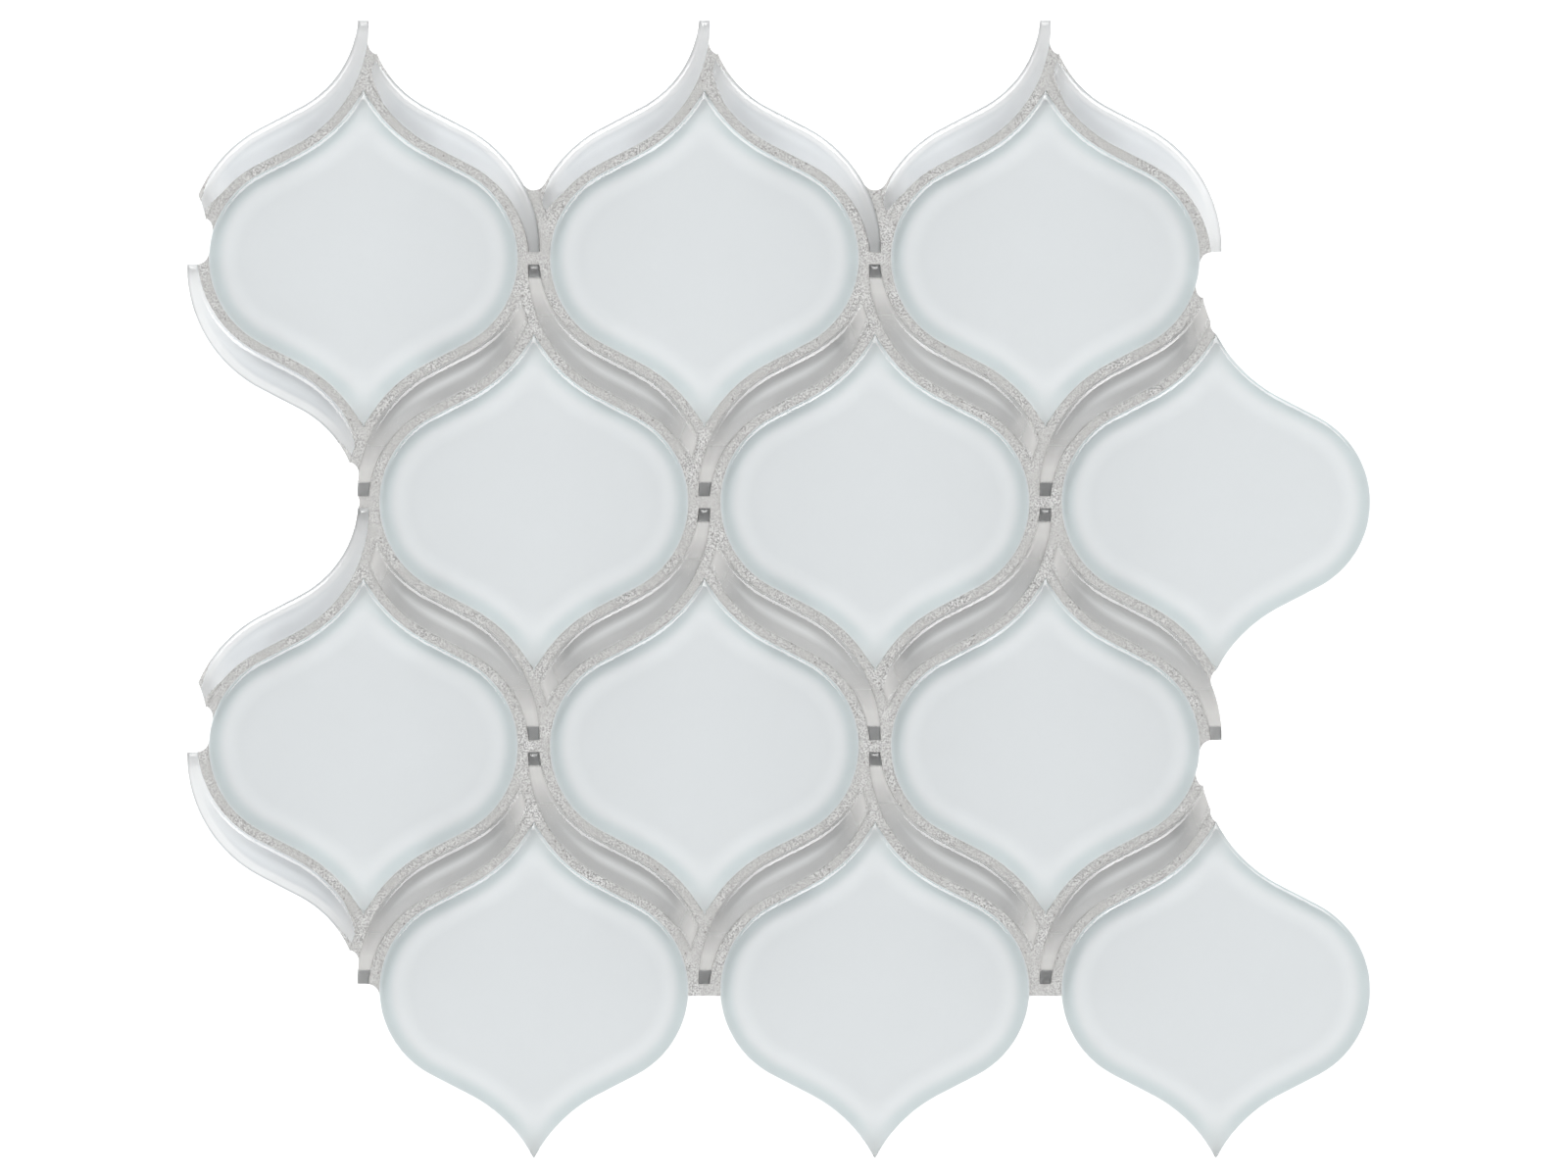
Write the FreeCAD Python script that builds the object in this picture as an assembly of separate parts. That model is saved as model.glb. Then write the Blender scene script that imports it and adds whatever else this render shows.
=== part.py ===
import FreeCAD, Part
import math
import os

# Arabesque glass mosaic sheet, lying on its back.
# Lantern-shaped tiles of white-backed glass stand in offset rows. A curved strip of clear glass lies along
# each of their flanks, cement grout fills the joints between them, and an open glass-fibre mesh is bonded to
# their backs.
# Millimetres, +Z up out of the glazed face, +X along a row of lanterns.

# Pattern
LANTERNS_IN_A_ROW = 3
LANTERN_ROWS = 4

# Lantern outline: a round shoulder at each side, straight flanks, and hollow arcs up to two points
LANTERN_WIDTH = 78.0
LANTERN_HEIGHT = 85.4
SHOULDER_RADIUS = 24.2
FLANK_LENGTH = 10.9
TIP_ANGLE = 54.7

# Strips, and the joints round them
STRIP_WIDTH = 8.0
STRIP_TAPER = 1.0
JOINT_WIDTH = 2.2
SQUARE_END_GAP = 3.0
LANTERN_SIDE_GAP = 8.0

# Glass
GLASS_THICKNESS = 8.0
CORNER_RADIUS = 0.25
LANTERN_EDGE_WIDTH = 1.2
LANTERN_EDGE_DROP = 1.0
STRIP_EDGE_WIDTH = 1.2
STRIP_EDGE_DROP = 1.0
LANTERN_EDGE_STEPS = 3
STRIP_EDGE_STEPS = 3

# Grout
GROUT_BELOW_WALL_TOP = 0.2
MENISCUS_RADIUS = 3.0

# Backing mesh
STRAND_WIDTH = 1.0
STRAND_PITCH = 8.0
MESH_THICKNESS = 0.5
MESH_SETBACK = 1.5

GLASS_BOTTOM = MESH_THICKNESS
GLASS_TOP = GLASS_BOTTOM + GLASS_THICKNESS


def point(x, y, z=0.0):
    return FreeCAD.Vector(x, y, z)


def line(a, b):
    return Part.LineSegment(a, b).toShape()


def arc(centre, start, end):
    """Arc under half a turn about centre, from start to end."""
    middle_way = (start - centre).normalize() + (end - centre).normalize()
    middle = centre + middle_way.normalize() * (start - centre).Length
    return Part.Arc(start, middle, end).toShape()


# The lantern's upper right quarter. Every other outline is a set distance from it.
SHOULDER_CENTRE = point(LANTERN_WIDTH / 2 - SHOULDER_RADIUS, 0)
TIP = point(0, LANTERN_HEIGHT / 2)
TIP_NORMAL = point(math.cos(math.radians(TIP_ANGLE / 2)), math.sin(math.radians(TIP_ANGLE / 2)))
# The hollow arc ends at the tip, at right angles to the tip's normal. The flank touches it and the shoulder:
# the way between the two arcs' centres is the flank's length one way and both radii the other way.
TO_TIP = TIP - SHOULDER_CENTRE
REACH = TO_TIP.dot(TO_TIP) - SHOULDER_RADIUS ** 2 - FLANK_LENGTH ** 2
HOLLOW_RADIUS = REACH / (2 * (SHOULDER_RADIUS - TO_TIP.dot(TIP_NORMAL)))
HOLLOW_CENTRE = TIP + TIP_NORMAL * HOLLOW_RADIUS
BETWEEN_CENTRES = HOLLOW_CENTRE - SHOULDER_CENTRE
FLANK_SLOPE = math.atan2(BETWEEN_CENTRES.x, BETWEEN_CENTRES.y) + math.atan2(
    FLANK_LENGTH, SHOULDER_RADIUS + HOLLOW_RADIUS)
FLANK_NORMAL = point(math.sin(FLANK_SLOPE), math.cos(FLANK_SLOPE))
FLANK_WAY = point(-FLANK_NORMAL.y, FLANK_NORMAL.x)
FLANK_START = SHOULDER_CENTRE + FLANK_NORMAL * SHOULDER_RADIUS
FLANK_END = FLANK_START + FLANK_WAY * FLANK_LENGTH

COLUMN_PITCH = LANTERN_WIDTH + LANTERN_SIDE_GAP
# A strip and its two joints fill the way between the parallel flanks of lanterns in neighbouring rows.
FLANK_TO_FLANK = STRIP_WIDTH + 2 * JOINT_WIDTH
CENTRE_TO_CENTRE = 2 * FLANK_NORMAL.dot(FLANK_END) + FLANK_TO_FLANK
ROW_PITCH = (CENTRE_TO_CENTRE - FLANK_NORMAL.x * COLUMN_PITCH / 2) / FLANK_NORMAL.y


def turned(v, side, up):
    """The quarter's point v carried to another quarter: side and up are 1 or -1."""
    return point(v.x * side, v.y * up)


def lantern_wire(inset):
    """Lantern outline about its own centre, moved in by inset, with its two tips sharp."""
    hollow = HOLLOW_RADIUS + inset
    tip = point(0, HOLLOW_CENTRE.y - math.sqrt(hollow ** 2 - HOLLOW_CENTRE.x ** 2))
    start = FLANK_START - FLANK_NORMAL * inset
    end = FLANK_END - FLANK_NORMAL * inset
    edges = []
    for side, up in ((1, 1), (-1, 1), (-1, -1), (1, -1)):
        flank = line(turned(start, side, up), turned(end, side, up))
        rise = arc(turned(HOLLOW_CENTRE, side, up), turned(end, side, up), turned(tip, side, up))
        edges += [flank, rise]
    for side in (1, -1):
        edges.append(arc(turned(SHOULDER_CENTRE, side, 1), turned(start, side, -1), turned(start, side, 1)))
    return Part.Wire(Part.__sortEdges__(edges))


def strip_wire(inset):
    """Outline of a curved strip with its corners sharp, moved in by inset.

    Its square end faces the joint crossing at the origin, and its pointed end the crossing half a column
    to the right and a row down. The lantern on its right stands level with the first crossing, and the
    lantern on its left stands level with the second. Each long side keeps its distance from the flank of one
    of them. Its arcs are struck from centres moved back by the taper, so it narrows towards both ends.
    """
    upper = point(COLUMN_PITCH / 2, 0)
    lower = point(0, -ROW_PITCH)
    away = JOINT_WIDTH + inset
    shoulder = SHOULDER_RADIUS + STRIP_TAPER + away
    hollow = HOLLOW_RADIUS - STRIP_TAPER - away
    cut = HOLLOW_RADIUS + inset
    shoulder_centre = SHOULDER_CENTRE - FLANK_NORMAL * STRIP_TAPER
    hollow_centre = HOLLOW_CENTRE - FLANK_NORMAL * STRIP_TAPER
    flank_start = FLANK_START + FLANK_NORMAL * away
    flank_end = FLANK_END + FLANK_NORMAL * away

    upper_shoulder = upper + turned(shoulder_centre, -1, -1)
    upper_start = upper + turned(flank_start, -1, -1)
    upper_end = upper + turned(flank_end, -1, -1)
    upper_hollow = upper + turned(hollow_centre, -1, -1)
    cut_centre = upper + turned(HOLLOW_CENTRE, 1, -1)
    lower_shoulder = lower + shoulder_centre
    lower_start = lower + flank_start
    lower_end = lower + flank_end
    lower_hollow = lower + hollow_centre

    end_y = -(SQUARE_END_GAP / 2 + inset)
    end_right = point(upper_shoulder.x - math.sqrt(shoulder ** 2 - (end_y - upper_shoulder.y) ** 2), end_y)
    end_left = point(lower_hollow.x - math.sqrt(hollow ** 2 - (end_y - lower_hollow.y) ** 2), end_y)
    heel = meeting(upper_hollow, hollow, cut_centre, cut)
    toe = meeting(lower_shoulder, shoulder, cut_centre, cut)
    edges = [
        line(end_left, end_right),
        arc(upper_shoulder, end_right, upper_start),
        line(upper_start, upper_end),
        arc(upper_hollow, upper_end, heel),
        arc(cut_centre, heel, toe),
        arc(lower_shoulder, toe, lower_start),
        line(lower_start, lower_end),
        arc(lower_hollow, lower_end, end_left),
    ]
    return Part.Wire(edges)


def meeting(left_centre, left_radius, right_centre, right_radius):
    """The upper point where two circles cross, the first centre being the left one."""
    between = right_centre - left_centre
    gap = between.Length
    along = (left_radius ** 2 - right_radius ** 2 + gap ** 2) / (2 * gap)
    across = math.sqrt(left_radius ** 2 - along ** 2)
    way = between * (1 / gap)
    return left_centre + way * along + point(-way.y, way.x) * across


def rounded_face(outline, inset):
    """Face inside an outline moved in by inset, with its outer corners rounded."""
    return Part.Face(outline(inset + CORNER_RADIUS)).makeOffset2D(CORNER_RADIUS)


def glass_piece(outline, edge_width, edge_drop, edge_steps):
    """Glass body with an upright wall and an edge that curves over to the face in a quarter ellipse."""
    wall_top = GLASS_TOP - edge_drop
    sections = [(0.0, GLASS_BOTTOM)]
    for step in range(edge_steps + 1):
        turn = math.radians(90 * step / edge_steps)
        sections.append((edge_width * (1 - math.cos(turn)), wall_top + edge_drop * math.sin(turn)))
    wires = []
    for inset, height in sections:
        wire = rounded_face(outline, inset).OuterWire
        wire.translate(point(0, 0, height))
        wires.append(wire)
    return Part.makeLoft(wires, True, True)


def lantern_places():
    """Row, column and centre of each lantern, from the first lantern's centre."""
    for row in range(LANTERN_ROWS):
        for column in range(LANTERNS_IN_A_ROW):
            shift = COLUMN_PITCH / 2 * (row % 2)
            yield row, column, point(column * COLUMN_PITCH + shift, -row * ROW_PITCH)


def strip_places():
    """Name, square end's crossing, and which way each strip is turned.

    In the first, third and later odd rows the two strips above a lantern have their square ends up at its
    crossing on the left and down at its side on the right. In the rows between it is the other way round.
    """
    half = COLUMN_PITCH / 2
    for row, column, centre in lantern_places():
        name = f"r{row + 1}_c{column + 1}"
        above = centre + point(0, ROW_PITCH)
        if row % 2 == 0:
            yield f"strip_above_left_{name}", above, -1, 1
            yield f"strip_above_right_{name}", centre + point(half, 0), -1, -1
            if column == 0 and row + 1 < LANTERN_ROWS:
                yield f"strip_below_left_{name}", centre - point(half, 0), 1, 1
        else:
            yield f"strip_above_left_{name}", centre - point(half, 0), 1, -1
            if column + 1 < LANTERNS_IN_A_ROW:
                yield f"strip_above_right_{name}", above, 1, 1


def placed(shape, crossing, side, up):
    """A copy of a strip's shape with its square end at a crossing, mirrored where side or up is -1."""
    copy = shape
    if side < 0:
        copy = copy.mirror(point(0, 0), point(1, 0))
    if up < 0:
        copy = copy.mirror(point(0, 0), point(0, 1))
    return copy.translated(crossing)


def joined(faces):
    """One slab of unit thickness from flat faces that overlap."""
    slabs = [face.extrude(point(0, 0, 1)) for face in faces]
    return slabs[0].fuse(slabs[1:]).removeSplitter()


def underside(body):
    """The largest face that looks straight down."""
    low = body.BoundBox.ZMin
    return max((face for face in body.Faces if face.BoundBox.ZMax < low + 1e-6), key=lambda face: face.Area)


def grown(outline, reach):
    """Face inside a glass piece's outline moved out by reach, with round corners."""
    return Part.Face(outline(CORNER_RADIUS)).makeOffset2D(CORNER_RADIUS + reach)


def sheet_faces():
    """Faces that cover glass and joints alike, and the same moved in by the mesh's setback.

    Both come from every outline moved out until it runs into its neighbours. Moved in again, the joints
    stay closed, and each open end of a joint is a hollow curve of the meniscus's radius.
    """
    lantern = grown(lantern_wire, MENISCUS_RADIUS)
    strip = grown(strip_wire, MENISCUS_RADIUS)
    faces = [lantern.translated(centre) for row, column, centre in lantern_places()]
    faces += [placed(strip, *place[1:]) for place in strip_places()]
    swollen = underside(joined(faces))
    full = swollen.makeOffset2D(-MENISCUS_RADIUS)
    inner = swollen.makeOffset2D(-MENISCUS_RADIUS - MESH_SETBACK)
    return full, inner


def crossing_faces():
    """Faces that fill the crossing between each two lanterns side by side, also where no strip ends below."""
    width = LANTERN_SIDE_GAP + 2 * CORNER_RADIUS
    height = SQUARE_END_GAP + CORNER_RADIUS
    for row, column, centre in lantern_places():
        if column + 1 < LANTERNS_IN_A_ROW:
            corner = centre + point((COLUMN_PITCH - width) / 2, -SQUARE_END_GAP / 2)
            yield Part.makePlane(width, height, corner)


def grout_body(sheet, glass_faces):
    """Grout in every joint, from the mesh up to just under the top of the glass walls."""
    depth = GLASS_THICKNESS - LANTERN_EDGE_DROP - GROUT_BELOW_WALL_TOP
    covered = underside(joined([sheet, *crossing_faces()]))
    web = max(covered.cut(glass_faces).Faces, key=lambda face: face.Area)
    return web.translated(point(0, 0, GLASS_BOTTOM)).extrude(point(0, 0, depth))


def mesh_part(region, columns, rows):
    """The backing mesh between two columns and two rows of window centres, with its windows cut out.

    Windows are counted from the sheet's middle, and a part's edges run through the middle of windows.
    """
    middle = region.BoundBox.Center
    first_column, last_column = columns
    first_row, last_row = rows
    corner = point(middle.x + first_column * STRAND_PITCH, middle.y + first_row * STRAND_PITCH)
    width = (last_column - first_column) * STRAND_PITCH
    height = (last_row - first_row) * STRAND_PITCH
    window = STRAND_PITCH - STRAND_WIDTH
    windows = []
    for row in range(first_row, last_row + 1):
        for column in range(first_column, last_column + 1):
            at = point(middle.x + column * STRAND_PITCH - window / 2, middle.y + row * STRAND_PITCH - window / 2)
            windows.append(Part.makePlane(window, window, at))
    strands = region.common(Part.makePlane(width, height, corner)).cut(windows)
    largest = max(strands.Faces, key=lambda face: face.Area)
    return largest.extrude(point(0, 0, MESH_THICKNESS))


def mesh_parts(region):
    """Name and body of each part of the backing mesh.

    The mesh is divided near the lines of lantern centres. Above the first line and below the last one,
    each lantern has a part of its own, because the sheet's edge runs in and out between the lanterns.
    """
    box = region.BoundBox
    across = math.ceil(box.XLength / 2 / STRAND_PITCH)
    up = math.ceil(box.YLength / 2 / STRAND_PITCH)

    def window_near(distance):
        return round(distance / STRAND_PITCH)

    lines = [window_near(-row * ROW_PITCH - box.Center.y) for row in range(LANTERN_ROWS)]
    for row in range(LANTERN_ROWS - 1):
        yield f"backing_mesh_band_{row + 1}", mesh_part(region, (-across, across), (lines[row + 1], lines[row]))
    for name, row, rows in (("top", 0, (lines[0], up)), ("bottom", LANTERN_ROWS - 1, (-up, lines[-1]))):
        sides = [centre.x - COLUMN_PITCH / 2 for at, column, centre in lantern_places() if at == row]
        cuts = [window_near(side - box.Center.x) for side in sides + [sides[-1] + COLUMN_PITCH]]
        for column in range(LANTERNS_IN_A_ROW):
            yield f"backing_mesh_{name}_{column + 1}", mesh_part(region, cuts[column:column + 2], rows)


def main():
    lantern = glass_piece(lantern_wire, LANTERN_EDGE_WIDTH, LANTERN_EDGE_DROP, LANTERN_EDGE_STEPS)
    strip = glass_piece(strip_wire, STRIP_EDGE_WIDTH, STRIP_EDGE_DROP, STRIP_EDGE_STEPS)
    lantern_face = rounded_face(lantern_wire, 0)
    strip_face = rounded_face(strip_wire, 0)

    nodes = {}
    glass_faces = []
    for row, column, centre in lantern_places():
        nodes[f"lantern_r{row + 1}_c{column + 1}"] = lantern.translated(centre)
        glass_faces.append(lantern_face.translated(centre))
    for name, crossing, side, up in strip_places():
        nodes[name] = placed(strip, crossing, side, up)
        glass_faces.append(placed(strip_face, crossing, side, up))

    sheet, mesh_region = sheet_faces()
    nodes["grout"] = grout_body(sheet, glass_faces)
    nodes.update(mesh_parts(mesh_region))

    box = Part.makeCompound(list(nodes.values())).BoundBox
    to_middle = point(-box.Center.x, -box.Center.y)
    os.makedirs("parts", exist_ok=True)
    for name, shape in nodes.items():
        shape.translated(to_middle).exportStep(f"parts/{name}.step")
        print(name, len(shape.Solids), shape.isValid(), round(shape.Volume, 1))
    print("sheet", round(box.XLength, 2), round(box.YLength, 2), round(box.ZLength, 2))


main()
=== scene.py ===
import math

import bpy
import numpy as np
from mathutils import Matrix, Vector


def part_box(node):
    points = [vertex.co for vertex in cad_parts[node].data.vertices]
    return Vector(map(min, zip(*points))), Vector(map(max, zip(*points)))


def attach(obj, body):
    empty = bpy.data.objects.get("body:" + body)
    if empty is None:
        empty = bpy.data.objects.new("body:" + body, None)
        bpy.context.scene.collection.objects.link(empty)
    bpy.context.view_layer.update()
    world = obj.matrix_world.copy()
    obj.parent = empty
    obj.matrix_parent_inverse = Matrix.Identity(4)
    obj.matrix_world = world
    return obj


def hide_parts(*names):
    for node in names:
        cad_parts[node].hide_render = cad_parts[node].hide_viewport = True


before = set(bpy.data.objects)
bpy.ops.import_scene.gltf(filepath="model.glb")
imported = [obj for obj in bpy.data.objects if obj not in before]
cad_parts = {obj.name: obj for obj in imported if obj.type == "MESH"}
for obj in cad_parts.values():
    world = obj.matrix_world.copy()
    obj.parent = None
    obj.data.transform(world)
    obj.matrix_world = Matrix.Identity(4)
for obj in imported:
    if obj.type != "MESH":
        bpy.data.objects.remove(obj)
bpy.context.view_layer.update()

# Arabesque glass mosaic sheet, lying face up on a white table.
# The lanterns are clear glass over a white back coat, the strips are clear glass on a thin bed of resin, and
# sandy cement grout fills the joints. All lengths are in metres, in the frame of the CAD model.
MM = 0.001

# Lantern outline
LANTERN_WIDTH = 78.0 * MM
LANTERN_HEIGHT = 85.4 * MM
SHOULDER_RADIUS = 24.2 * MM
FLANK_LENGTH = 10.9 * MM
TIP_ANGLE = math.radians(54.7)
TIP_ROUNDING = 0.25 * MM
TIP_SOFTENING = 0.5

# Joints
STRIP_TAPER = 1.0 * MM
JOINT_WIDTH = 2.2 * MM
SQUARE_END_GAP = 3.0 * MM

# Heights
MESH_TOP = 0.5 * MM
BOND_THICKNESS = 0.04 * MM
GLASS_BOTTOM = MESH_TOP + BOND_THICKNESS
GLASS_TOP = 8.5 * MM
LANTERN_RIM_WIDTH = 1.2 * MM
LANTERN_RIM_DROP = 1.0 * MM
STRIP_RIM_WIDTH = 1.4 * MM
STRIP_RIM_DROP = 1.0 * MM
STRIP_RIDGE_SOFTENING = 0.5 * MM

# The photograph: width of its view and where its middle falls on the sheet
VIEW_WIDTH = 395.4 * MM
VIEW_MIDDLE = (1.36 * MM, 0.32 * MM)
CAMERA_HEIGHT = 1.2


def middle(node):
    """Centre of a CAD node's box in plan."""
    low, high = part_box(node)
    return np.array([(low.x + high.x) / 2, (low.y + high.y) / 2])


ROWS = 1 + max(int(name.split("_")[1][1:]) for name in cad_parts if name.startswith("lantern_")) - 1
COLUMNS = 1 + max(int(name.split("_")[2][1:]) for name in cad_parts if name.startswith("lantern_")) - 1
FIRST_CENTRE = middle("lantern_r1_c1")
COLUMN_PITCH = middle("lantern_r1_c2")[0] - FIRST_CENTRE[0]
ROW_PITCH = FIRST_CENTRE[1] - middle("lantern_r2_c1")[1]

# The lantern's upper right quarter: the arcs' centres, the hollow radius and the flank between them
SHOULDER_CENTRE = np.array([LANTERN_WIDTH / 2 - SHOULDER_RADIUS, 0.0])
TIP = np.array([0.0, LANTERN_HEIGHT / 2])
TIP_NORMAL = np.array([math.cos(TIP_ANGLE / 2), math.sin(TIP_ANGLE / 2)])
TO_TIP = TIP - SHOULDER_CENTRE
REACH = TO_TIP @ TO_TIP - SHOULDER_RADIUS ** 2 - FLANK_LENGTH ** 2
HOLLOW_RADIUS = REACH / (2 * (SHOULDER_RADIUS - TO_TIP @ TIP_NORMAL))
HOLLOW_CENTRE = TIP + TIP_NORMAL * HOLLOW_RADIUS
BETWEEN = HOLLOW_CENTRE - SHOULDER_CENTRE
FLANK_TURN = math.atan2(BETWEEN[1], BETWEEN[0]) - math.atan2(FLANK_LENGTH, SHOULDER_RADIUS + HOLLOW_RADIUS)
FLANK_NORMAL = np.array([math.cos(FLANK_TURN), math.sin(FLANK_TURN)])
FLANK_WAY = np.array([-FLANK_NORMAL[1], FLANK_NORMAL[0]])
FLANK_START = SHOULDER_CENTRE + FLANK_NORMAL * SHOULDER_RADIUS
FLANK_END = FLANK_START + FLANK_WAY * FLANK_LENGTH


def arc(centre, radius, start, end, count):
    """Points on a circle about centre, at even steps of the angle from start to end."""
    turn = np.linspace(start, end, count)
    return np.asarray(centre) + radius * np.stack([np.cos(turn), np.sin(turn)], axis=1)


def lantern_outline(inset):
    """Lantern outline moved in by inset, anticlockwise from its right side, as rows of x and y.

    A quarter is an arc about the shoulder's centre, the straight flank, an arc about the hollow's centre, and
    a small arc round the tip whose radius grows with the inset. The other quarters mirror the first.
    """
    tip_radius = TIP_ROUNDING + TIP_SOFTENING * inset
    hollow = HOLLOW_RADIUS + inset
    tip_y = HOLLOW_CENTRE[1] - math.sqrt((hollow + tip_radius) ** 2 - HOLLOW_CENTRE[0] ** 2)
    to_tip = math.atan2(tip_y - HOLLOW_CENTRE[1], -HOLLOW_CENTRE[0]) % (2 * math.pi)
    shoulder = arc(SHOULDER_CENTRE, SHOULDER_RADIUS - inset, 0, FLANK_TURN, 14)
    hollow_arc = arc(HOLLOW_CENTRE, hollow, FLANK_TURN + math.pi, to_tip, 16)
    share = np.linspace(0, 1, 5)[1:-1, None]
    flank = shoulder[-1] * (1 - share) + hollow_arc[0] * share
    tip = arc((0, tip_y), tip_radius, to_tip - math.pi, math.pi / 2, 6)
    quarter = np.concatenate([shoulder, flank, hollow_arc, tip[1:]])
    return np.concatenate([
        quarter,
        (quarter[::-1] * (-1, 1))[1:],
        (quarter * (-1, -1))[1:],
        (quarter[::-1] * (1, -1))[1:-1],
    ])


def beyond_strip_side(p):
    """Distance of points from the side of a strip that lies along the upper right flank of a lantern at the origin.

    Beside the flank it is the distance to the straight line. Beyond either end of the flank it is the distance
    from an arc, whose centre is moved back by the taper.
    """
    along = (p - FLANK_START) @ FLANK_WAY
    shoulder = np.linalg.norm(p - STRIP_SHOULDER_CENTRE, axis=-1) - SHOULDER_RADIUS - STRIP_TAPER
    flank = (p - FLANK_START) @ FLANK_NORMAL
    hollow = HOLLOW_RADIUS - STRIP_TAPER - np.linalg.norm(p - STRIP_HOLLOW_CENTRE, axis=-1)
    return np.where(along < 0, shoulder, np.where(along < FLANK_LENGTH, flank, hollow)) - JOINT_WIDTH


def meeting(left_centre, left_radius, right_centre, right_radius):
    """The upper point where two circles cross, the first centre being the left one."""
    between = right_centre - left_centre
    gap = np.linalg.norm(between)
    along = (left_radius ** 2 - right_radius ** 2 + gap ** 2) / (2 * gap)
    across = math.sqrt(left_radius ** 2 - along ** 2)
    way = between / gap
    return left_centre + way * along + np.array([-way[1], way[0]]) * across


def angle_at(centre, p):
    """Direction of p from centre as an angle."""
    return math.atan2(p[1] - centre[1], p[0] - centre[0])


def resampled(points, shares):
    """Points at the given shares of a line's length."""
    steps = np.linalg.norm(np.diff(points, axis=0), axis=1)
    run = np.concatenate([[0.0], np.cumsum(steps)])
    return np.stack([np.interp(shares * run[-1], run, points[:, k]) for k in (0, 1)], axis=1)


UPPER_LANTERN = np.array([COLUMN_PITCH / 2, 0.0])
LOWER_LANTERN = np.array([0.0, -ROW_PITCH])
CUT_CENTRE = UPPER_LANTERN + HOLLOW_CENTRE * (1, -1)
# A strip narrows towards its ends, because its arcs are struck from centres moved back by the taper.
STRIP_SHOULDER_CENTRE = SHOULDER_CENTRE - FLANK_NORMAL * STRIP_TAPER
STRIP_HOLLOW_CENTRE = HOLLOW_CENTRE - FLANK_NORMAL * STRIP_TAPER


def strip_sides(shares):
    """The strip's two long sides from its square end to its pointed end, at shares of their lengths.

    The square end faces the joint crossing at the origin. Each side is an arc round the shoulder of the
    lantern next to it, the straight flank and an arc into the hollow, or the same the other way round.
    """
    end_y = -SQUARE_END_GAP / 2
    shoulder = SHOULDER_RADIUS + STRIP_TAPER + JOINT_WIDTH
    hollow = HOLLOW_RADIUS - STRIP_TAPER - JOINT_WIDTH

    upper_shoulder = UPPER_LANTERN - STRIP_SHOULDER_CENTRE
    upper_hollow = UPPER_LANTERN - STRIP_HOLLOW_CENTRE
    heel = meeting(upper_hollow, hollow, CUT_CENTRE, HOLLOW_RADIUS)
    first = math.pi + math.asin((upper_shoulder[1] - end_y) / shoulder)
    right = np.concatenate([
        arc(upper_shoulder, shoulder, first, math.pi + FLANK_TURN, 60),
        arc(upper_hollow, hollow, FLANK_TURN, angle_at(upper_hollow, heel), 60),
    ])

    lower_shoulder = LOWER_LANTERN + STRIP_SHOULDER_CENTRE
    lower_hollow = LOWER_LANTERN + STRIP_HOLLOW_CENTRE
    toe = meeting(lower_shoulder, shoulder, CUT_CENTRE, HOLLOW_RADIUS)
    first = math.pi - math.asin((end_y - lower_hollow[1]) / hollow)
    left = np.concatenate([
        arc(lower_hollow, hollow, first, math.pi + FLANK_TURN, 60),
        arc(lower_shoulder, shoulder, FLANK_TURN, angle_at(lower_shoulder, toe), 60),
    ])
    return resampled(left, shares), resampled(right, shares)


def softly_least(values, reach):
    """The least of several arrays, rounded off where two of them are nearly the same."""
    least = values[0]
    for value in values[1:]:
        near = np.clip(1 - np.abs(least - value) / reach, 0, 1)
        least = np.minimum(least, value) - reach * near ** 2 / 4
    return least


def rim_height(distance, top, width, drop):
    """Height of a rim that rises in a quarter ellipse, from drop below top at the wall to top at width."""
    share = np.clip(distance / width, 0, 1)
    return top - drop + drop * np.sqrt(1 - (1 - share) ** 2)


def new_piece(name, points, faces, materials, material_of_face):
    """A mesh object from rows of points and a list of faces, shaded smoothly up to its sharp corners."""
    mesh = bpy.data.meshes.new(name)
    mesh.from_pydata(points.tolist(), [], faces)
    for material in materials:
        mesh.materials.append(material)
    mesh.polygons.foreach_set("material_index", material_of_face)
    mesh.polygons.foreach_set("use_smooth", np.ones(len(faces), bool))
    mesh.set_sharp_from_angle(angle=math.radians(38))
    mesh.validate()
    piece = bpy.data.objects.new(name, mesh)
    bpy.context.scene.collection.objects.link(piece)
    return piece


# How far in the rings of a lantern's back keep to its outline
BACK_INSET = 9.0 * MM


def add_distance(piece, label, distance):
    """Stores a distance at every point of a piece's mesh, for its materials."""
    attribute = piece.data.attributes.new(label, "FLOAT", "POINT")
    attribute.data.foreach_set("value", distance.astype(np.float32))


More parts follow.
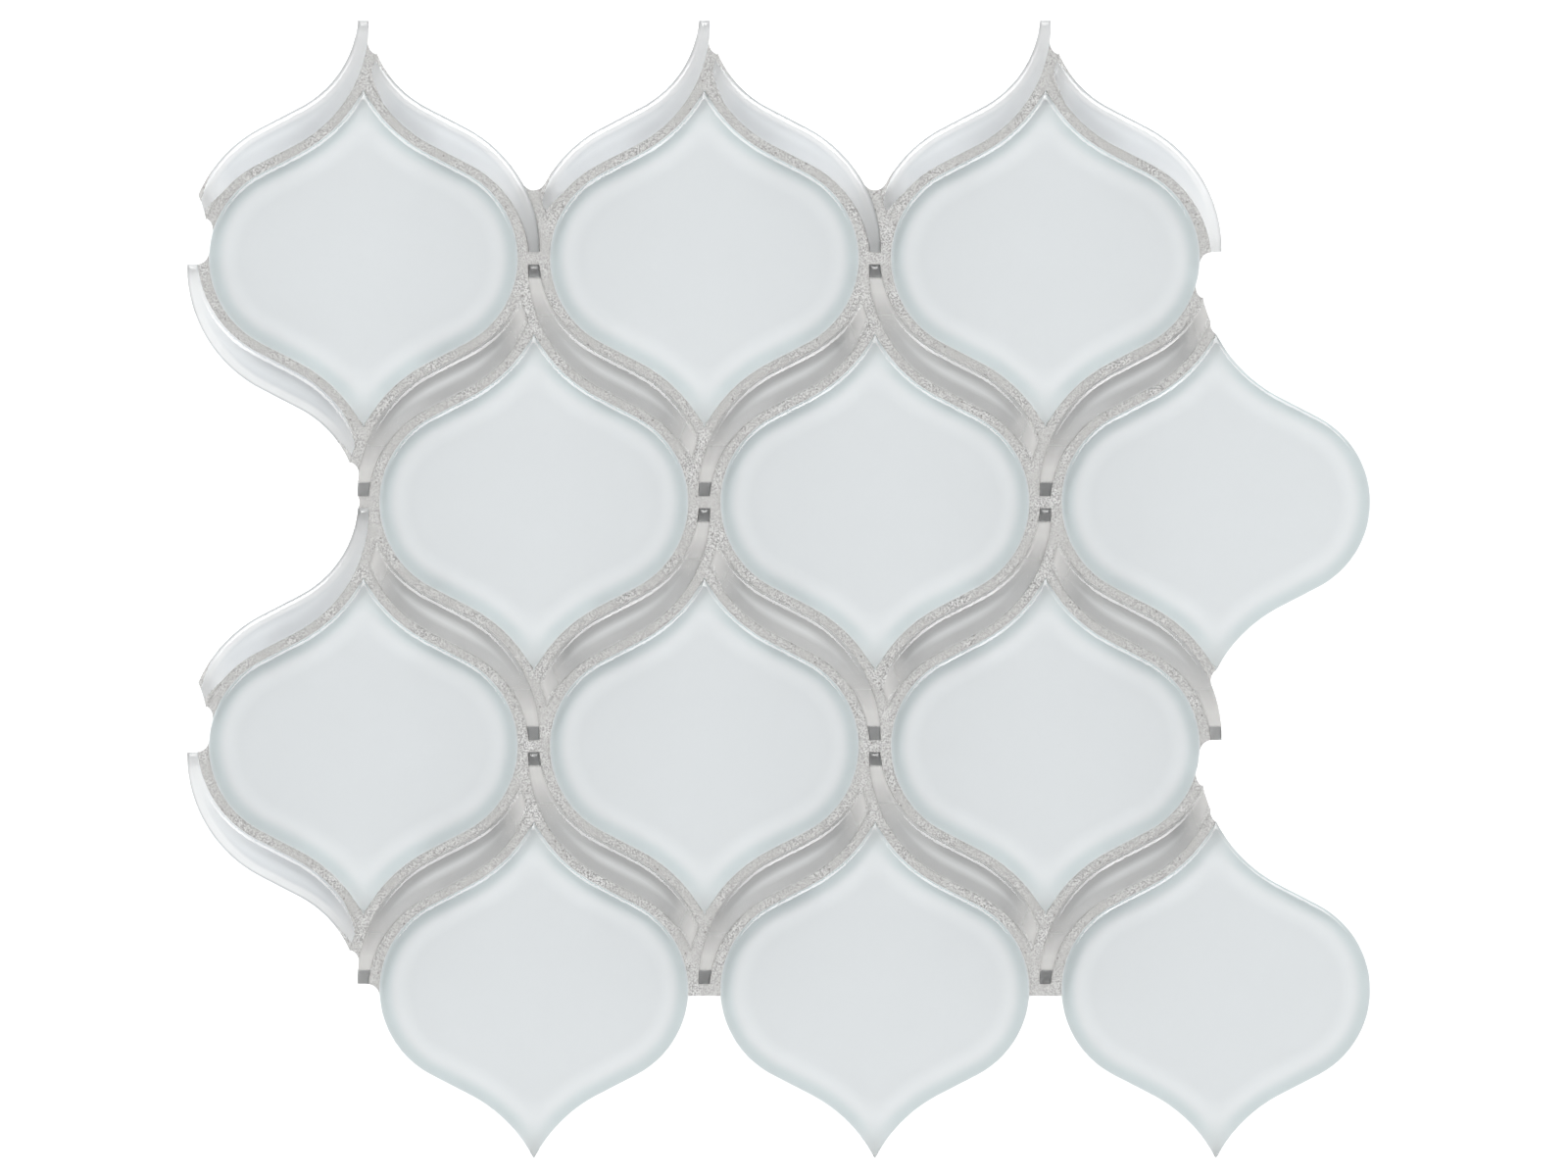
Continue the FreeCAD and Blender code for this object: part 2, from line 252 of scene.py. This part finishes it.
def lantern_glass(name, materials):
    """Lantern of glass: rings of the outline from the middle of the back, up the wall and over to the face.

    Each ring is the outline at one inset, drawn in towards the centre by one scale, at one height. On the
    back and the face the scale falls to nothing. Over the rim the inset and the height follow a quarter
    ellipse. The faces of the back, the wall and the rest have a material each.
    """
    turn = np.radians(np.linspace(0, 90, 13))
    back = [(BACK_INSET, scale, GLASS_BOTTOM) for scale in (0.5, 0.85)]
    back += [(inset, 1.0, GLASS_BOTTOM) for inset in np.linspace(BACK_INSET, 0, 10)]
    rim = [(LANTERN_RIM_WIDTH * (1 - math.cos(t)), 1.0, GLASS_TOP - LANTERN_RIM_DROP * (1 - math.sin(t)))
           for t in turn]
    face = [(LANTERN_RIM_WIDTH, scale, GLASS_TOP) for scale in (0.98, 0.9, 0.75, 0.5, 0.25)]
    rings = back + rim + face
    centre = middle(name)
    loops = [np.column_stack([lantern_outline(inset) * scale + centre, np.full(len(lantern_outline(0)), z)])
             for inset, scale, z in rings]
    around = len(loops[0])
    poles = np.array([[*centre, GLASS_BOTTOM], [*centre, GLASS_TOP]])
    points = np.concatenate(loops + [poles])

    here = np.arange(around)
    following = np.roll(here, -1)
    quads = [np.stack([here, following, following + around, here + around], axis=1) + row * around
             for row in range(len(rings) - 1)]
    last = (len(rings) - 1) * around
    low_fan = np.stack([following, here, np.full(around, len(points) - 2)], axis=1)
    high_fan = np.stack([here + last, following + last, np.full(around, len(points) - 1)], axis=1)
    faces = np.concatenate(quads).tolist() + low_fan.tolist() + high_fan.tolist()
    back_rows = len(back) - 1
    of_row = [1] * back_rows + [2] + [0] * (len(rings) - 2 - back_rows)
    material_of_face = np.concatenate([np.repeat(of_row, around), np.ones(around, int), np.zeros(around, int)])
    piece = new_piece(name + "_glass", points, faces, materials, material_of_face.astype(np.int32))
    from_edge = np.repeat([inset for inset, scale, z in rings] + [BACK_INSET], [around] * len(rings) + [2])
    add_distance(piece, "from_edge", from_edge)
    beside = np.abs(points[:, :2] - centre)
    add_distance(piece, "from_tip", np.linalg.norm(beside - TIP, axis=1))
    return piece


STRIP_STEPS = 96
STRIP_STEPS_ACROSS = 22


def smeared(borders):
    """Which parts of a strip's top are smeared with grout: its corners at the cut end, where it creeps in."""
    near_cut_end = np.clip((6 * MM - borders[3]) / (6 * MM), 0, 1) * 1.3 * MM
    return np.minimum(borders[0], borders[1]) < near_cut_end


def strip_glass(name, crossing, side, up, materials, open_sides):
    """Curved strip of glass with its square end at a crossing, mirrored where side or up is -1.

    Its plan is a grid: shares along the two long sides, closer near the ends, and shares across from one
    side to the other, closer near the sides. The height follows the distance to the nearest border.
    """
    along = (1 - np.cos(np.linspace(0, math.pi, STRIP_STEPS + 1))) / 2
    across = (1 - np.cos(np.linspace(0, math.pi, STRIP_STEPS_ACROSS + 1))) / 2
    left, right = strip_sides(along)
    plan = left[:, None] * (1 - across)[None, :, None] + right[:, None] * across[None, :, None]
    # The pointed end is cut along an arc, so the last stretch of every line along the strip is bent to it.
    to_cut = plan - CUT_CENTRE
    reach = np.linalg.norm(to_cut, axis=-1)
    short = (HOLLOW_RADIUS - reach[-1]) / reach[-1]
    plan = plan + to_cut * (short * along[:, None] ** 6)[:, :, None]
    borders = [
        beyond_strip_side(plan - LOWER_LANTERN),
        beyond_strip_side(UPPER_LANTERN - plan),
        -plan[:, :, 1] - SQUARE_END_GAP / 2,
        np.linalg.norm(plan - CUT_CENTRE, axis=-1) - HOLLOW_RADIUS,
    ]
    height = rim_height(softly_least(borders, STRIP_RIDGE_SOFTENING), GLASS_TOP, STRIP_RIM_WIDTH, STRIP_RIM_DROP)
    plan = plan * (side, up) + crossing
    top = np.dstack([plan, height]).reshape(-1, 3)
    bottom = np.dstack([plan, np.full(height.shape, GLASS_BOTTOM)]).reshape(-1, 3)
    points = np.concatenate([top, bottom])

    wide = STRIP_STEPS_ACROSS + 1
    grid = np.arange(len(top)).reshape(STRIP_STEPS + 1, wide)
    a, b, c, d = grid[:-1, :-1], grid[1:, :-1], grid[1:, 1:], grid[:-1, 1:]
    sheet = np.stack([a, b, c, d], axis=-1).reshape(-1, 4)
    borders_of_grid = [grid[::-1, 0], grid[:, -1], grid[0], grid[-1, ::-1]]
    walls = [np.stack([edge[:-1], edge[1:], edge[1:] + len(top), edge[:-1] + len(top)], axis=-1)
             for edge in borders_of_grid]
    faces = np.concatenate([sheet, sheet[:, ::-1] + len(top)] + walls)
    if side * up < 0:
        faces = faces[:, ::-1]
    bonded = [0 if is_open else 2 for is_open in open_sides] + [2, 2]
    of_face = [(border[:-1, :-1] + border[1:, :-1] + border[1:, 1:] + border[:-1, 1:]) / 4 for border in borders]
    top_material = np.where(smeared(of_face), 3, 0).ravel()
    material_of_face = np.concatenate([top_material, np.ones(len(sheet))]
                                      + [np.full(len(wall), index) for wall, index in zip(walls, bonded)])
    piece = new_piece(name + "_glass", points, faces.tolist(), materials, material_of_face.astype(np.int32))
    add_distance(piece, "from_long_sides", np.tile(np.minimum(borders[0], borders[1]).ravel(), 2))
    add_distance(piece, "from_square_end", np.tile(borders[2].ravel(), 2))
    add_distance(piece, "from_cut_end", np.tile(borders[3].ravel(), 2))
    from_open_side = np.full(height.shape, 1.0)
    for border, is_open in zip(borders, open_sides):
        if is_open:
            from_open_side = np.minimum(from_open_side, border)
    add_distance(piece, "from_open_side", np.tile(from_open_side.ravel(), 2))
    return piece


def lantern_centres():
    """Row, column and centre of each lantern, as in the CAD model."""
    for row in range(ROWS):
        for column in range(COLUMNS):
            yield row, column, middle(f"lantern_r{row + 1}_c{column + 1}")


def strip_places():
    """Node, square end's crossing, and which way each strip is turned, as in the CAD model."""
    half = np.array([COLUMN_PITCH / 2, 0.0])
    for row, column, centre in lantern_centres():
        name = f"r{row + 1}_c{column + 1}"
        above = centre + (0.0, ROW_PITCH)
        if row % 2 == 0:
            yield f"strip_above_left_{name}", above, -1, 1
            yield f"strip_above_right_{name}", centre + half, -1, -1
            if column == 0 and row + 1 < ROWS:
                yield f"strip_below_left_{name}", centre - half, 1, 1
        else:
            yield f"strip_above_left_{name}", centre - half, 1, -1
            if column + 1 < COLUMNS:
                yield f"strip_above_right_{name}", above, 1, 1


def new_material(name):
    """A material with its Principled shader and the two lists of its nodes and links."""
    material = bpy.data.materials.new(name)
    material.use_nodes = True
    return material, material.node_tree, material.node_tree.nodes["Principled BSDF"]


def add_node(tree, kind, **values):
    """A node of one kind, with values set on its inputs by name, a space being written as _."""
    node = tree.nodes.new(kind)
    for key, value in values.items():
        node.inputs[key.replace("_", " ")].default_value = value
    return node


def object_point(tree):
    """The point's own place in the frame, for patterns that don't slide."""
    return tree.nodes.new("ShaderNodeTexCoord").outputs["Object"]


def stretched(tree, value, low, high):
    """A value spread so that low becomes 0 and high becomes 1."""
    spread = add_node(tree, "ShaderNodeMapRange", From_Min=low, From_Max=high)
    tree.links.new(value, spread.inputs["Value"])
    return spread.outputs["Result"]


def glass_ripple_group():
    """Slow waves in pressed glass and sparse dull smudges on its polish, as a height and a roughness."""
    group = bpy.data.node_groups.new("pressed_glass_ripple", "ShaderNodeTree")
    group.interface.new_socket("Wave Length", in_out="INPUT", socket_type="NodeSocketFloat")
    group.interface.new_socket("Smudge Roughness", in_out="INPUT", socket_type="NodeSocketFloat")
    group.interface.new_socket("Height", in_out="OUTPUT", socket_type="NodeSocketFloat")
    group.interface.new_socket("Roughness", in_out="OUTPUT", socket_type="NodeSocketFloat")
    given = group.nodes.new("NodeGroupInput")
    result = group.nodes.new("NodeGroupOutput")
    spread = add_node(group, "ShaderNodeMath")
    spread.operation = "DIVIDE"
    spread.inputs[0].default_value = 1.0
    group.links.new(given.outputs["Wave Length"], spread.inputs[1])
    wave = add_node(group, "ShaderNodeTexNoise", Detail=2.0, Roughness=0.4)
    group.links.new(object_point(group), wave.inputs["Vector"])
    group.links.new(spread.outputs[0], wave.inputs["Scale"])
    smudge = add_node(group, "ShaderNodeTexNoise", Scale=250.0, Detail=4.0)
    group.links.new(object_point(group), smudge.inputs["Vector"])
    share = add_node(group, "ShaderNodeMath")
    share.operation = "MULTIPLY"
    group.links.new(stretched(group, smudge.outputs["Fac"], 0.64, 0.74), share.inputs[0])
    group.links.new(given.outputs["Smudge Roughness"], share.inputs[1])
    group.links.new(wave.outputs["Fac"], result.inputs["Height"])
    group.links.new(share.outputs[0], result.inputs["Roughness"])
    return group


def mottle_group():
    """Two colours in soft patches with fine specks in them, for coats, films and grout on glass walls."""
    group = bpy.data.node_groups.new("mottled_colour", "ShaderNodeTree")
    for socket in ("Light Colour", "Dark Colour"):
        group.interface.new_socket(socket, in_out="INPUT", socket_type="NodeSocketColor")
    for socket in ("Patch Scale", "Speck Scale"):
        group.interface.new_socket(socket, in_out="INPUT", socket_type="NodeSocketFloat")
    group.interface.new_socket("Color", in_out="OUTPUT", socket_type="NodeSocketColor")
    group.interface.new_socket("Height", in_out="OUTPUT", socket_type="NodeSocketFloat")
    given = group.nodes.new("NodeGroupInput")
    result = group.nodes.new("NodeGroupOutput")
    place = object_point(group)
    patch = add_node(group, "ShaderNodeTexNoise", Detail=3.0)
    speck = add_node(group, "ShaderNodeTexNoise", Detail=2.0)
    for texture, scale in ((patch, "Patch Scale"), (speck, "Speck Scale")):
        group.links.new(place, texture.inputs["Vector"])
        group.links.new(given.outputs[scale], texture.inputs["Scale"])
    both = add_node(group, "ShaderNodeMath")
    both.operation = "MULTIPLY_ADD"
    both.inputs[1].default_value = 0.6
    group.links.new(speck.outputs["Fac"], both.inputs[0])
    some = add_node(group, "ShaderNodeMath")
    some.operation = "MULTIPLY"
    some.inputs[1].default_value = 0.4
    group.links.new(patch.outputs["Fac"], some.inputs[0])
    group.links.new(some.outputs[0], both.inputs[2])
    mix = group.nodes.new("ShaderNodeMix")
    mix.data_type = "RGBA"
    group.links.new(both.outputs[0], mix.inputs["Factor"])
    group.links.new(given.outputs["Dark Colour"], mix.inputs[6])
    group.links.new(given.outputs["Light Colour"], mix.inputs[7])
    group.links.new(mix.outputs[2], result.inputs["Color"])
    group.links.new(both.outputs[0], result.inputs["Height"])
    return group


RIPPLE = glass_ripple_group()
MOTTLE = mottle_group()


def bump_from(tree, shader, height, distance, strength=1.0):
    """Lets a height bend the shader's normal."""
    bump = add_node(tree, "ShaderNodeBump", Strength=strength, Distance=distance)
    tree.links.new(height, bump.inputs["Height"])
    tree.links.new(bump.outputs["Normal"], shader.inputs["Normal"])


def clear_glass(name, tint, wave_length, wave_height):
    """Clear pressed glass with a faint tint. Rays towards the lamps pass straight through it."""
    material, tree, shader = new_material(name)
    shader.inputs["Base Color"].default_value = (*tint, 1.0)
    shader.inputs["IOR"].default_value = 1.5
    shader.inputs["Transmission Weight"].default_value = 1.0
    ripple = tree.nodes.new("ShaderNodeGroup")
    ripple.node_tree = RIPPLE
    ripple.inputs["Wave Length"].default_value = wave_length
    ripple.inputs["Smudge Roughness"].default_value = 0.04
    tree.links.new(ripple.outputs["Roughness"], shader.inputs["Roughness"])
    bump_from(tree, shader, ripple.outputs["Height"], wave_height)
    straight = tree.nodes.new("ShaderNodeBsdfTransparent")
    straight.inputs["Color"].default_value = (*tint, 1.0)
    path = tree.nodes.new("ShaderNodeLightPath")
    either = tree.nodes.new("ShaderNodeMixShader")
    tree.links.new(path.outputs["Is Shadow Ray"], either.inputs[0])
    tree.links.new(shader.outputs[0], either.inputs[1])
    tree.links.new(straight.outputs[0], either.inputs[2])
    tree.links.new(either.outputs[0], tree.nodes["Material Output"].inputs["Surface"])
    return material


def joined_values(tree, operation, first, second):
    """Two values added or multiplied, held between 0 and 1."""
    node = add_node(tree, "ShaderNodeMath")
    node.operation = operation
    node.use_clamp = True
    tree.links.new(first, node.inputs[0])
    if isinstance(second, float):
        node.inputs[1].default_value = second
    else:
        tree.links.new(second, node.inputs[1])
    return node.outputs[0]


def shade_lifting_haze_on_narrow_ends(material):
    """A hazy grout film on the glass where a strip between two lanterns is slim, past a clear window at its end. It
    stands partly for grout on the glass and partly for painted light, lifting the shade of the deep slim glass.
    """
    tree = material.node_tree
    # The film's grey is lighter than the shaded glass under it: partly grout on the glass, partly painted light.
    shade_lifting_haze = add_node(tree, "ShaderNodeBsdfPrincipled", Base_Color=(0.42, 0.41, 0.395, 1.0), Roughness=0.85)
    from_square_end = distance_from(tree, "from_square_end")
    near_square_end = stretched(tree, from_square_end, 20.0 * MM, 7.0 * MM)
    past_window = stretched(tree, from_square_end, 3.2 * MM, 3.8 * MM)
    near_cut_end = stretched(tree, distance_from(tree, "from_cut_end"), 9.0 * MM, 1.0 * MM)
    no_open_side = stretched(tree, distance_from(tree, "from_open_side"), 0.1, 0.5)
    factor = joined_values(tree, "ADD", joined_values(tree, "MULTIPLY", near_square_end, past_window), near_cut_end)
    factor = joined_values(tree, "MULTIPLY", factor, no_open_side)
    factor = joined_values(tree, "MULTIPLY", factor, 0.8)
    either = tree.nodes["Material Output"].inputs["Surface"].links[0].from_node
    glass_with_shade_lifting_haze = tree.nodes.new("ShaderNodeMixShader")
    tree.links.new(factor, glass_with_shade_lifting_haze.inputs[0])
    tree.links.new(either.inputs[1].links[0].from_socket, glass_with_shade_lifting_haze.inputs[1])
    tree.links.new(shade_lifting_haze.outputs[0], glass_with_shade_lifting_haze.inputs[2])
    tree.links.new(glass_with_shade_lifting_haze.outputs[0], either.inputs[1])


def painted_shade_along_open_sides(material):
    """Greys the glass along a side that has no grout: painted shade for the dark line seen there through its ground
    arris.
    """
    tree = material.node_tree
    shader = tree.nodes["Principled BSDF"]
    tint = tuple(shader.inputs["Base Color"].default_value)[:3]
    clear_of_painted_shade = stretched(tree, distance_from(tree, "from_open_side"), 0.2 * MM, 0.8 * MM)
    tree.links.new(mixed(tree, clear_of_painted_shade, (0.62, 0.62, 0.62), tint), shader.inputs["Base Color"])


def mottled(name, light, dark, patch_scale, speck_scale, roughness, bump_distance=0.0):
    """A matte coat or film in two near colours."""
    material, tree, shader = new_material(name)
    shader.inputs["Roughness"].default_value = roughness
    shader.inputs["Specular IOR Level"].default_value = 0.5 if bump_distance else 0.0
    mottle = tree.nodes.new("ShaderNodeGroup")
    mottle.node_tree = MOTTLE
    mottle.inputs["Light Colour"].default_value = (*light, 1.0)
    mottle.inputs["Dark Colour"].default_value = (*dark, 1.0)
    mottle.inputs["Patch Scale"].default_value = patch_scale
    mottle.inputs["Speck Scale"].default_value = speck_scale
    tree.links.new(mottle.outputs["Color"], shader.inputs["Base Color"])
    if bump_distance:
        bump_from(tree, shader, mottle.outputs["Height"], bump_distance)
    return material


def mixed(tree, factor, low, high):
    """A colour that goes from low to high with a factor. Each may be a colour or another node's output."""
    mix = tree.nodes.new("ShaderNodeMix")
    mix.data_type = "RGBA"
    tree.links.new(factor, mix.inputs["Factor"])
    for socket, colour in ((mix.inputs[6], low), (mix.inputs[7], high)):
        if isinstance(colour, tuple):
            socket.default_value = (*colour, 1.0)
        else:
            tree.links.new(colour, socket)
    return mix.outputs[2]


def distance_from(tree, label):
    """A distance stored on the mesh."""
    attribute = tree.nodes.new("ShaderNodeAttribute")
    attribute.attribute_name = label
    return attribute.outputs["Fac"]


def white_back_coat():
    """White paint on a lantern's back, with painted light and shade in its colour. A greener band near the edge
    stands for the shade of the wall and the tint of light that has gone through more glass. A lighter band further
    in is painted light for what the rounded rim gathers. The tips are painted lighter to lift the shade between
    their two walls.
    """
    material = mottled("white_back_coat", (0.758, 0.766, 0.773), (0.744, 0.752, 0.759), 20.0, 900.0, 0.6)
    tree = material.node_tree
    shader = tree.nodes["Principled BSDF"]
    distance = distance_from(tree, "from_edge")
    # Painted light: a lighter band from about 4 to 8 mm in from the edge, for light gathered by the rounded rim.
    painted_rim_light = mixed(tree, stretched(tree, distance, 5.0 * MM, 8.0 * MM), (0.825, 0.832, 0.838),
                 shader.inputs["Base Color"].links[0].from_socket)
    # Painted shade and tint: greener within 2 to 4 mm of the edge, for the wall's shade and light that has gone
    # through more glass.
    colour = mixed(tree, stretched(tree, distance, 2.0 * MM, 4.0 * MM), (0.728, 0.78, 0.786), painted_rim_light)
    # Painted light: lighter near each tip, fading out by 12 mm, lifting the shade between the tip's two walls.
    colour = mixed(tree, stretched(tree, distance_from(tree, "from_tip"), 2.0 * MM, 12.0 * MM), (0.88, 0.90, 0.905),
                   colour)
    tree.links.new(colour, shader.inputs["Base Color"])
    return material


def resin_bed(name, light, dark, middle, painted_light_where_slim, painted_light_end_and_open_side):
    """Resin under a clear strip, its colour with painted light: lighter along its middle line for light that the
    rounded rims gather there, lighter towards both ends to lift the shade of the slim, deep glass there, and lighter
    along a side without grout, for light that comes in through that side."""
    material = mottled(name, light, dark, 60.0, 1500.0, 0.6)
    tree = material.node_tree
    shader = tree.nodes["Principled BSDF"]
    # Painted light: a lighter streak along the middle line, for light gathered by the rounded rims.
    painted_light_streak = stretched(tree, distance_from(tree, "from_long_sides"), 2.4 * MM, 3.8 * MM)
    colour = mixed(tree, painted_light_streak, shader.inputs["Base Color"].links[0].from_socket, middle)
    # Painted light: lighter towards the cut end and the square end, lifting the shade of the slim glass there.
    colour = mixed(tree, stretched(tree, distance_from(tree, "from_cut_end"), 1.0 * MM, 10.0 * MM), painted_light_where_slim, colour)
    from_square_end = distance_from(tree, "from_square_end")
    colour = mixed(tree, stretched(tree, from_square_end, 5.0 * MM, 26.0 * MM), painted_light_where_slim, colour)
    # Painted light: a light colour in the last 3.3 mm at the square end.
    colour = mixed(tree, stretched(tree, from_square_end, 3.3 * MM, 3.9 * MM), painted_light_end_and_open_side, colour)
    # Painted light: lighter within about 2 mm of a side without grout, for light coming in through that side.
    open_side = stretched(tree, distance_from(tree, "from_open_side"), 1.9 * MM, 2.6 * MM)
    colour = mixed(tree, open_side, painted_light_end_and_open_side, colour)
    tree.links.new(colour, shader.inputs["Base Color"])
    return material


def sandy_grout():
    """Cement with fine sand: pale and dark grains, a few open pores, and a rough surface."""
    material, tree, shader = new_material("sandy_grout")
    shader.inputs["Roughness"].default_value = 0.85
    place = object_point(tree)
    grain = add_node(tree, "ShaderNodeTexNoise", Scale=2300.0, Detail=3.0, Roughness=0.6)
    patch = add_node(tree, "ShaderNodeTexNoise", Scale=120.0, Detail=3.0)
    pore = add_node(tree, "ShaderNodeTexVoronoi", Scale=420.0)
    for texture in (grain, patch, pore):
        tree.links.new(place, texture.inputs["Vector"])
    sand = mixed(tree, stretched(tree, grain.outputs["Fac"], 0.40, 0.60), (0.19, 0.186, 0.18), (0.545, 0.537, 0.525))
    stained = mixed(tree, stretched(tree, patch.outputs["Fac"], 0.3, 0.7), sand, (0.358, 0.35, 0.338))
    solid = stretched(tree, pore.outputs["Distance"], 0.06, 0.14)
    tree.links.new(mixed(tree, solid, (0.20, 0.19, 0.18), stained), shader.inputs["Base Color"])
    height = add_node(tree, "ShaderNodeMath")
    height.operation = "MULTIPLY"
    tree.links.new(grain.outputs["Fac"], height.inputs[0])
    tree.links.new(solid, height.inputs[1])
    bump_from(tree, shader, height.outputs[0], 0.25 * MM)
    return material


LANTERN_GLASS = clear_glass("lantern_glass", (0.98, 0.996, 0.994), 30 * MM, 0.02 * MM)
STRIP_GLASS = clear_glass("strip_glass", (0.985, 0.996, 0.994), 12 * MM, 0.02 * MM)
painted_shade_along_open_sides(STRIP_GLASS)
shade_lifting_haze_on_narrow_ends(STRIP_GLASS)
BACK_COAT = white_back_coat()
# In each bed, the last three colours are painted light: the middle streak, the slim ends, and the square end with
# the open side.
STAINED_BED = resin_bed("stained_resin_bed", (0.725, 0.717, 0.708), (0.69, 0.682, 0.673), (0.905, 0.902, 0.898),
                        (0.965, 0.96, 0.955), (0.97, 0.965, 0.96))
CLEAN_BED = resin_bed("clean_resin_bed", (0.765, 0.78, 0.796), (0.745, 0.76, 0.776), (0.805, 0.82, 0.835),
                      (0.97, 0.97, 0.97), (0.95, 0.95, 0.95))
# Grout on the glass walls, painted much lighter than the grout itself to lift the shade within the glass; the
# strips' copy is lighter still, for their deep slim slots.
GROUTED_WALL_WITH_PAINTED_LIGHT = mottled("grouted_glass_wall_painted_light", (0.88, 0.87, 0.85), (0.82, 0.81, 0.79), 90.0, 2600.0, 0.8)
STRIP_WALL_WITH_PAINTED_LIGHT = mottled("grouted_strip_wall_painted_light", (0.95, 0.943, 0.932), (0.92, 0.912, 0.90), 90.0, 2600.0, 0.8)
GROUT = sandy_grout()
FIBRE = mottled("glass_fibre_thread", (0.85, 0.85, 0.83), (0.70, 0.70, 0.68), 400.0, 4000.0, 0.6, 0.1 * MM)


def dress(node, material):
    """Gives a CAD node's own mesh one material."""
    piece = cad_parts[node]
    piece.data.materials.clear()
    piece.data.materials.append(material)


def add_glass():
    """Every lantern and strip, on the body of the node that it stands for."""
    centres = [centre for row, column, centre in lantern_centres()]
    for row, column, centre in lantern_centres():
        node = f"lantern_r{row + 1}_c{column + 1}"
        piece = lantern_glass(node, [LANTERN_GLASS, BACK_COAT, GROUTED_WALL_WITH_PAINTED_LIGHT])
        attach(piece, "root")
        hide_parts(node)
    for node, crossing, side, up in strip_places():
        beside = [crossing + LOWER_LANTERN * (side, up), crossing + UPPER_LANTERN * (side, up)]
        open_sides = [min(np.linalg.norm(place - centre) for centre in centres) > MM for place in beside]
        bed = CLEAN_BED if any(open_sides) else STAINED_BED
        piece = strip_glass(node, crossing, side, up, [STRIP_GLASS, bed, STRIP_WALL_WITH_PAINTED_LIGHT, GROUT], open_sides)
        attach(piece, "root")
        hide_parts(node)


def add_table():
    """A plain white table top, larger than the view."""
    mesh = bpy.data.meshes.new("table")
    half = 3.0
    mesh.from_pydata([(-half, -half, 0), (half, -half, 0), (half, half, 0), (-half, half, 0)], [], [(0, 1, 2, 3)])
    material, tree, shader = new_material("white_table")
    shader.inputs["Base Color"].default_value = (0.9, 0.9, 0.9, 1.0)
    shader.inputs["Roughness"].default_value = 0.9
    shader.inputs["Emission Color"].default_value = (1.0, 1.0, 1.0, 1.0)
    shader.inputs["Emission Strength"].default_value = 0.35
    mesh.materials.append(material)
    table = bpy.data.objects.new("table", mesh)
    bpy.context.scene.collection.objects.link(table)


def add_light():
    """An even white room and one soft box over the sheet's upper left, which the glass doesn't refract."""
    world = bpy.data.worlds.new("studio")
    world.use_nodes = True
    background = world.node_tree.nodes["Background"]
    background.inputs["Color"].default_value = (0.97, 0.985, 1.0, 1.0)
    background.inputs["Strength"].default_value = 1.65
    bpy.context.scene.world = world
    light = bpy.data.lights.new("soft_box", "AREA")
    light.size = 0.25
    light.energy = 1.8
    lamp = bpy.data.objects.new("soft_box", light)
    lamp.location = (-0.24, 0.60, 1.35)
    lamp.rotation_euler = (-lamp.location).to_track_quat("-Z", "Y").to_euler()
    lamp.visible_transmission = False
    bpy.context.scene.collection.objects.link(lamp)
    bpy.context.scene.view_settings.view_transform = "Standard"


def add_card():
    """A white card past the sheet's upper edge, seen only as a fine bright line on the rounded arrises."""
    centre = np.array([-0.05, 0.85, 1.2])
    right = np.array([0.9, 0.0, 0.0])
    rise = np.cross(centre, right)
    rise = rise / np.linalg.norm(rise) * 0.55
    corners = [centre - right - rise, centre + right - rise, centre + right + rise, centre - right + rise]
    mesh = bpy.data.meshes.new("reflector_card")
    mesh.from_pydata([corner.tolist() for corner in corners], [], [(0, 1, 2, 3)])
    material, tree, shader = new_material("reflector_card")
    material.cycles.emission_sampling = "NONE"
    path = tree.nodes.new("ShaderNodeLightPath")
    mirrored = add_node(tree, "ShaderNodeMath")
    mirrored.operation = "MULTIPLY"
    tree.links.new(path.outputs["Is Reflection Ray"], mirrored.inputs[0])
    tree.links.new(path.outputs["Is Glossy Ray"], mirrored.inputs[1])
    strength = add_node(tree, "ShaderNodeMath")
    strength.operation = "MULTIPLY"
    strength.inputs[1].default_value = 10.0
    tree.links.new(mirrored.outputs[0], strength.inputs[0])
    glow = tree.nodes.new("ShaderNodeEmission")
    tree.links.new(strength.outputs[0], glow.inputs["Strength"])
    tree.links.new(glow.outputs[0], tree.nodes["Material Output"].inputs["Surface"])
    mesh.materials.append(material)
    card = bpy.data.objects.new("reflector_card", mesh)
    card.visible_camera = False
    card.visible_diffuse = False
    card.visible_transmission = False
    card.visible_shadow = False
    bpy.context.scene.collection.objects.link(card)


def add_camera():
    """Looks straight down, as the photograph does, with no perspective."""
    data = bpy.data.cameras.new("camera")
    data.type = "ORTHO"
    data.ortho_scale = VIEW_WIDTH
    camera = bpy.data.objects.new("camera", data)
    camera.location = (*VIEW_MIDDLE, CAMERA_HEIGHT)
    bpy.context.scene.collection.objects.link(camera)
    bpy.context.scene.camera = camera


add_glass()
dress("grout", GROUT)
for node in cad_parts:
    if node.startswith("backing_mesh"):
        dress(node, FIBRE)
add_table()
add_light()
add_card()
add_camera()
